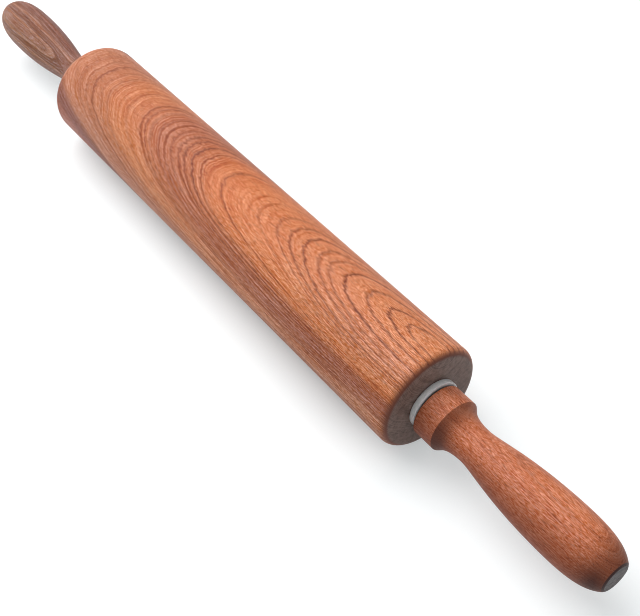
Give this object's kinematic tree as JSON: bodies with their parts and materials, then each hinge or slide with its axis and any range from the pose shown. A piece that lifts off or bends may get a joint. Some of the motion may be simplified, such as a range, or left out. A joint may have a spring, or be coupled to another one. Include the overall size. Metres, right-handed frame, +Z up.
{
  "type": "rolling pin",
  "caption": "Wooden rolling pin: bored hardwood roller that spins on a steel axle in flanged nylon bushes, with turned grip handles screwed to the axle's ends.",
  "frame": {"origin": "middle of the roller, on the roller's own axis", "axes": "+X along the roller's axis towards the right handle, +Z up with the pin lying on its roller"},
  "size_m": [0.5274, 0.0558, 0.0558],
  "materials": {
    "roller_wood": "sanded and oiled red-brown hardwood, satin",
    "handle_wood": "turned, sanded and oiled red-brown hardwood, satin",
    "bush_nylon": "moulded nylon, natural white",
    "axle_steel": "bright drawn steel",
    "washer_steel": "zinc-plated steel",
    "insert_brass": "turned brass"
  },
  "bodies": {
    "axle": {"axle_rod": "axle_steel", "right_thrust_washer": "washer_steel", "left_thrust_washer": "washer_steel", "right_threaded_insert": "insert_brass", "left_threaded_insert": "insert_brass", "right_handle": "handle_wood", "left_handle": "handle_wood"},
    "roller": {"roller": "roller_wood", "right_bearing_bush": "bush_nylon", "left_bearing_bush": "bush_nylon"}
  },
  "joints": [
    {"name": "roller_spin", "type": "hinge", "parent": "axle", "child": "roller", "pos_m": [0, 0, 0], "axis": [1, 0, 0], "continuous": true}
  ]
}
